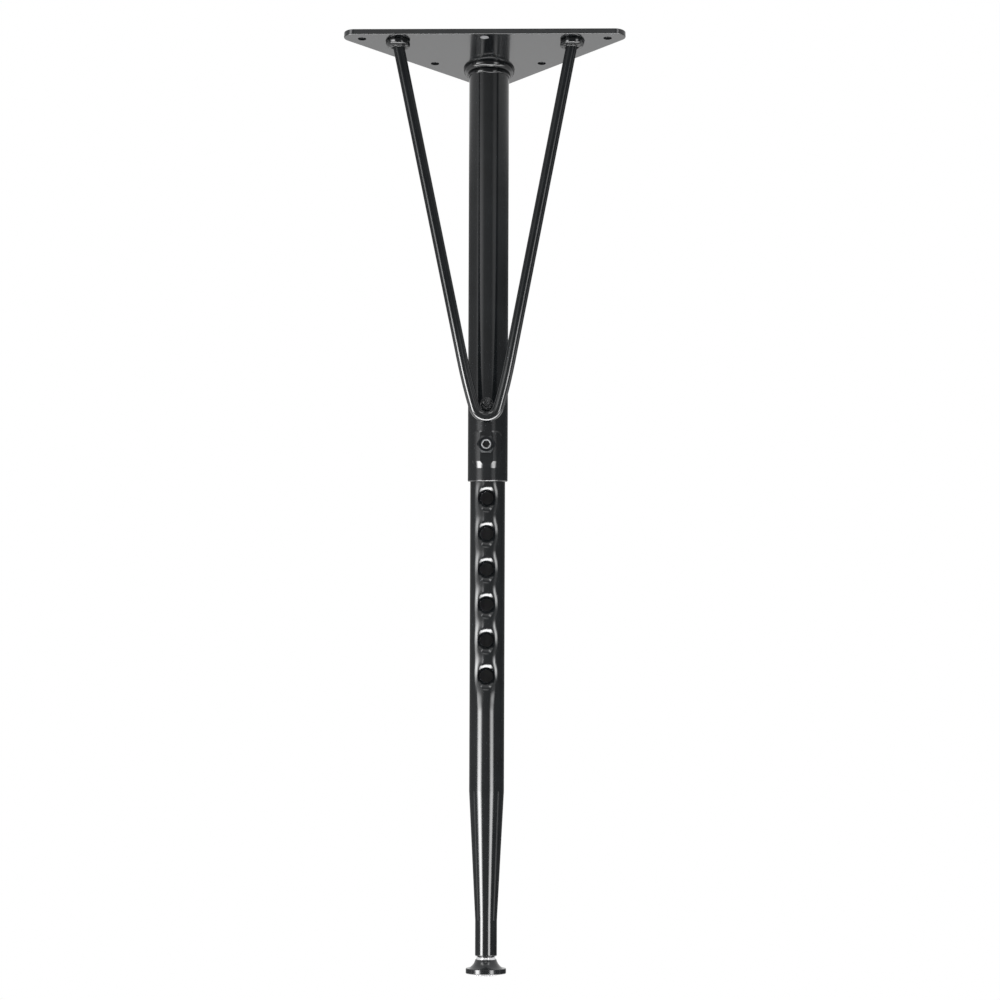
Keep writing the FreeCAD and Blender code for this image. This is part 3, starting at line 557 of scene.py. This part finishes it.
# Studio lights.
def glow(name, width, height, strength, stops, soft):
    """Light of a panel that varies over its height and fades over the soft share of its half width.
    The stops are heights in metres with shares of the strength."""
    material = bpy.data.materials.new(name)
    material.use_nodes = True
    tree = material.node_tree
    tree.nodes.clear()
    place = own_place(tree)
    node = tree.nodes.new("ShaderNodeValToRGB")
    bar = node.color_ramp
    while len(bar.elements) < len(stops):
        bar.elements.new(0.5)
    for element, (up, value) in zip(bar.elements, stops):
        element.position = up / height + 0.5
        element.color = (value, value, value, 1)
    tree.links.new(along(tree, place, (0, 1, 0), -height / 2, height / 2, 0.0, 1.0), node.inputs["Fac"])
    offset = calculate(tree, "ABSOLUTE", along(tree, place, (1, 0, 0), -width / 2, width / 2, -1.0, 1.0))
    light = tree.nodes.new("ShaderNodeEmission")
    tree.links.new(eased(tree, offset, 1.0, 1.0 - soft, 0.0, strength), light.inputs["Strength"])
    tree.links.new(node.outputs["Color"], light.inputs["Color"])
    both = tree.nodes.new("ShaderNodeAddShader")
    clear = tree.nodes.new("ShaderNodeBsdfTransparent")
    tree.links.new(light.outputs["Emission"], both.inputs[0])
    tree.links.new(clear.outputs["BSDF"], both.inputs[1])
    output = tree.nodes.new("ShaderNodeOutputMaterial")
    tree.links.new(both.outputs["Shader"], output.inputs["Surface"])
    return material


def light_panel(name, centre, facing, upward, width, height, material):
    """Flat studio light that shows in reflections only."""
    half_x, half_y = width / 2, height / 2
    mesh = bpy.data.meshes.new(name)
    corners = [(-half_x, -half_y, 0), (half_x, -half_y, 0), (half_x, half_y, 0), (-half_x, half_y, 0)]
    mesh.from_pydata(corners, [], [(0, 1, 2, 3)])
    mesh.materials.append(material)
    panel = bpy.data.objects.new(name, mesh)
    scene.collection.objects.link(panel)
    panel.matrix_world = (
        Matrix.Translation(centre) @ Matrix((upward.cross(facing), upward, facing)).transposed().to_4x4()
    )
    panel.visible_camera = False
    panel.visible_diffuse = False


STRIP_TOP = 2.4
STRIP_LOW = -1.3
STRIP_HEIGHT = STRIP_TOP - STRIP_LOW
STRIP_MIDDLE = (STRIP_TOP + STRIP_LOW) / 2
STRIP_SOFT = 0.8


def strip_light(name, azimuth, distance, width, strength, stops):
    """Tall soft light in front of the leg, at an azimuth in degrees, counted to the right from the front.
    The stops are heights up the leg with shares of the strength."""
    angle = math.radians(azimuth)
    away = ACROSS * math.sin(angle) - INTO_VIEW * math.cos(angle)
    levels = [(up - STRIP_MIDDLE, share) for up, share in stops]
    material = glow(name + "_glow", width, STRIP_HEIGHT, strength, levels, STRIP_SOFT)
    centre = away * distance + UP_LEG * STRIP_MIDDLE
    light_panel(name, centre, -away, UP_LEG, width, STRIP_HEIGHT, material)


# Two bright strips for the lower leg, and two dim, wide ones for the upper leg.
# Each has an azimuth, a distance, a width and a strength.
LEFT_FADE = [
    (-1.2, 0.0), (-1.0, 0.95), (-0.746, 0.95), (-0.64, 1.0), (-0.558, 0.70), (-0.46, 0.48), (-0.29, 0.02),
    (0.37, 0.01), (0.75, 0.2),
]
RIGHT_FADE = [
    (-1.25, 0.0), (-1.05, 0.9), (-0.746, 0.95), (-0.64, 1.0), (-0.558, 0.80), (-0.46, 0.56), (-0.30, 0.02),
    (0.37, 0.02), (0.75, 0.3),
]
DIM_FADE = [(-0.95, 0.0), (-0.75, 0.5), (-0.32, 1.0), (-0.04, 1.0), (0.06, 0.8), (0.15, 0.2), (0.3, 0.0)]
strip_light("strip_left", -46, 1.45, 0.99, 24, LEFT_FADE)
strip_light("strip_right", 37, 1.45, 0.80, 13, RIGHT_FADE)
strip_light("soft_left", -46, 1.55, 1.62, 1.0, DIM_FADE)
strip_light("soft_right", 36, 1.55, 0.96, 0.35, DIM_FADE)

# Arch of three low lights, which makes the crescents over the holes.
LOW_TILT = math.radians(66)
LOW_MIDDLE_UP = -0.4
LOW_HEIGHT = 1.3
LOW_STOPS = [(-0.6, 0.6), (-0.2, 1.0), (0.1, 0.9), (0.35, 0.0)]
LOW_WIDTH = 3.6
LOW_DISTANCE = 1.7
LOW_STRENGTH = 22
LOW_SOFT = 0.85
LOW_TO_LEFT = 0.06
LOW_ROLL = math.radians(42)
SIDE_WIDTH = 1.6
SIDE_DISTANCE = 1.75
SIDE_STRENGTH = 10
SIDE_SOFT = 0.8
low_middle = UP_LEG * LOW_MIDDLE_UP
low_away = -INTO_VIEW * math.cos(LOW_TILT) - UP_LEG * math.sin(LOW_TILT) - ACROSS * LOW_TO_LEFT
low_away.normalize()
low_up = low_away.cross(ACROSS).normalized()
low_centre = low_middle + low_away * LOW_DISTANCE
low_glow = glow("low_glow", LOW_WIDTH, LOW_HEIGHT, LOW_STRENGTH, LOW_STOPS, LOW_SOFT)
light_panel("low_light", low_centre, -low_away, low_up, LOW_WIDTH, LOW_HEIGHT, low_glow)
for side_name, turn in (("left", -LOW_ROLL), ("right", LOW_ROLL)):
    outward = ACROSS * math.sin(turn) - UP_LEG * math.cos(turn)
    side_away = outward * math.sin(LOW_TILT) - INTO_VIEW * math.cos(LOW_TILT)
    side_up = side_away.cross(outward.cross(INTO_VIEW)).normalized()
    side_centre = low_middle + side_away * SIDE_DISTANCE
    side_glow = glow("low_glow_" + side_name, SIDE_WIDTH, LOW_HEIGHT, SIDE_STRENGTH, LOW_STOPS, SIDE_SOFT)
    light_panel("low_" + side_name, side_centre, -side_away, side_up, SIDE_WIDTH, LOW_HEIGHT, side_glow)

# Weak light from above the camera.
TOP_TILT = math.radians(30)
TOP_WIDTH = 1.6
TOP_HEIGHT = 0.7
TOP_DISTANCE = 2.6
TOP_STRENGTH = 2.2
TOP_SOFT = 0.6
TOP_STOPS = [(-0.34, 0.0), (-0.1, 1.0), (0.34, 0.6)]
top_away = -INTO_VIEW * math.cos(TOP_TILT) + UP_LEG * math.sin(TOP_TILT)
top_up = ACROSS.cross(top_away)
top_glow = glow("top_glow", TOP_WIDTH, TOP_HEIGHT, TOP_STRENGTH, TOP_STOPS, TOP_SOFT)
light_panel("top_light", top_away * TOP_DISTANCE, -top_away, top_up, TOP_WIDTH, TOP_HEIGHT, top_glow)

# Camera at the photograph's viewing angle. The focal length is in pixels of a picture 1000 pixels wide.
EYE_DISTANCE = 3.2
EYE_UP = -0.371
YAW = math.radians(3.298)
AIM_RIGHT = math.radians(0.159)
PITCH = math.radians(1.035)
ROLL = math.radians(0.21)
FOCAL_PIXELS = 4467
PICTURE_PIXELS = 1000
SENSOR_WIDTH = 36
camera_data = bpy.data.cameras.new("camera")
camera = bpy.data.objects.new("camera", camera_data)
scene.collection.objects.link(camera)
scene.camera = camera
camera_data.sensor_width = SENSOR_WIDTH
camera_data.lens = SENSOR_WIDTH * FOCAL_PIXELS / PICTURE_PIXELS
camera_data.clip_start = 0.1
camera_data.clip_end = 100
level = INTO_VIEW * math.cos(YAW) - ACROSS * math.sin(YAW)
right = level.cross(UP_LEG)
aimed = level * math.cos(AIM_RIGHT) + right * math.sin(AIM_RIGHT)
right = aimed.cross(UP_LEG)
forward = aimed * math.cos(PITCH) + UP_LEG * math.sin(PITCH)
upright = right.cross(forward)
rolled_up = upright * math.cos(ROLL) - right * math.sin(ROLL)
rolled_right = right * math.cos(ROLL) + upright * math.sin(ROLL)
eye = UP_LEG * EYE_UP - level * EYE_DISTANCE
camera.matrix_world = (
    Matrix.Translation(eye) @ Matrix((rolled_right, rolled_up, -forward)).transposed().to_4x4()
)

bpy.context.view_layer.update()
